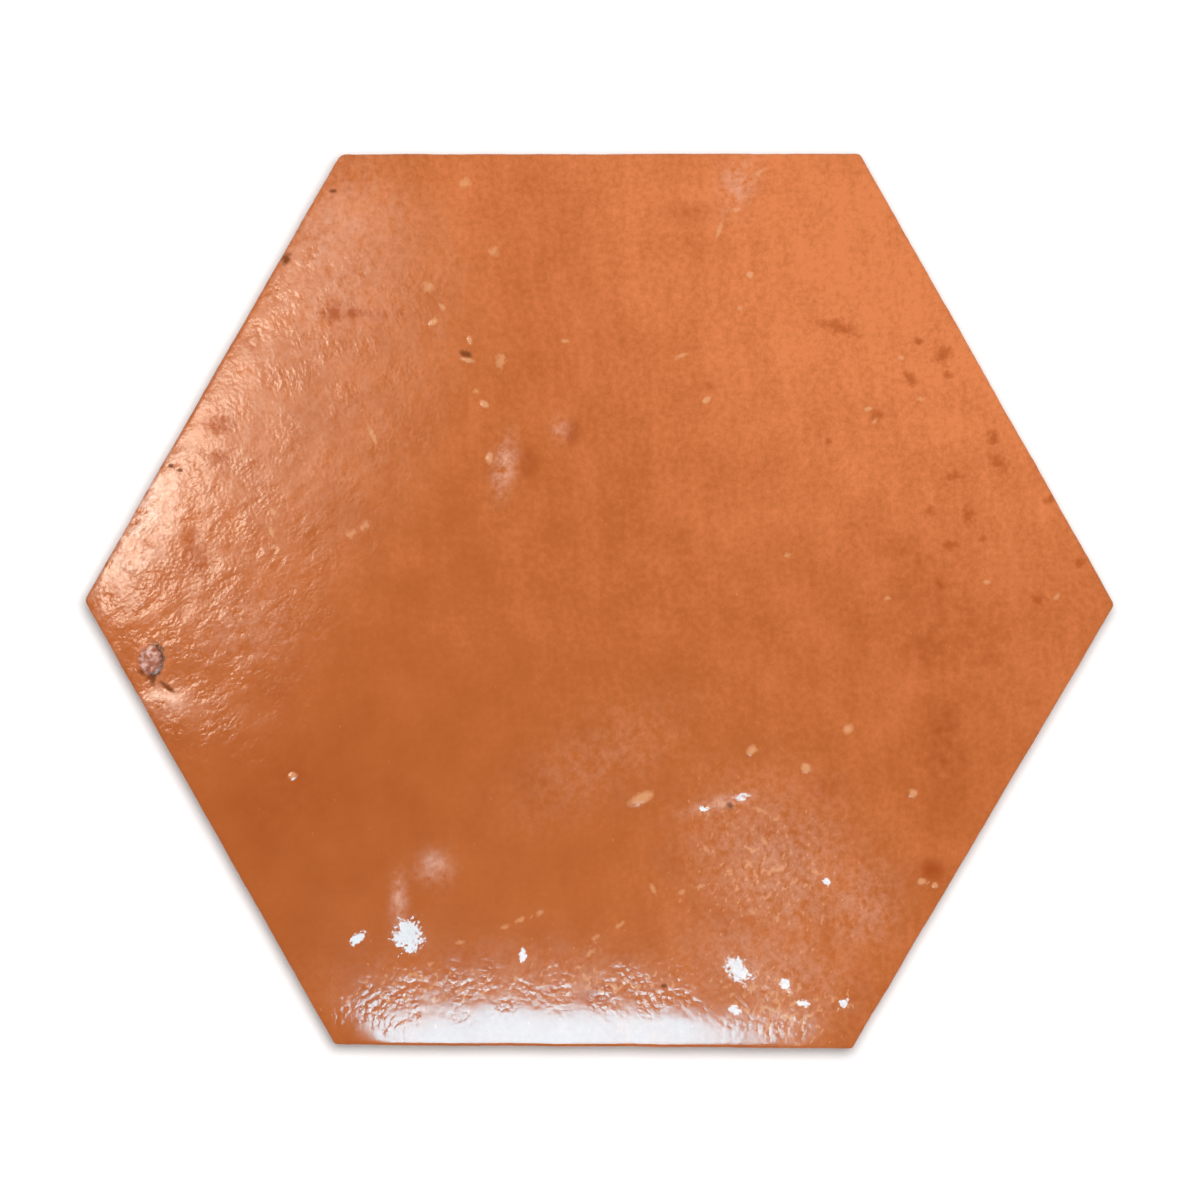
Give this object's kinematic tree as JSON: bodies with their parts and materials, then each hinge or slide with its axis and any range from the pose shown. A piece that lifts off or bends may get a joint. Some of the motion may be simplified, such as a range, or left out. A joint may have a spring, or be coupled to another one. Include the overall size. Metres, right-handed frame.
{
  "type": "hexagon tile",
  "caption": "Hexagonal hand-made terracotta tile with a glossy glazed face, softly rolled edges and undercut sides, laid in adhesive on floors and walls.",
  "frame": {"origin": "middle of the back, which is the middle of the bounding box's underside", "axes": "+Z out of the glazed face, X through two opposite points of the hexagon, Y across two opposite flats"},
  "size_m": [0.1726, 0.1502, 0.0125],
  "materials": {
    "glazed_terracotta": "gloss"
  },
  "bodies": {
    "root": {"hexagon_tile": "glazed_terracotta"}
  },
  "joints": []
}
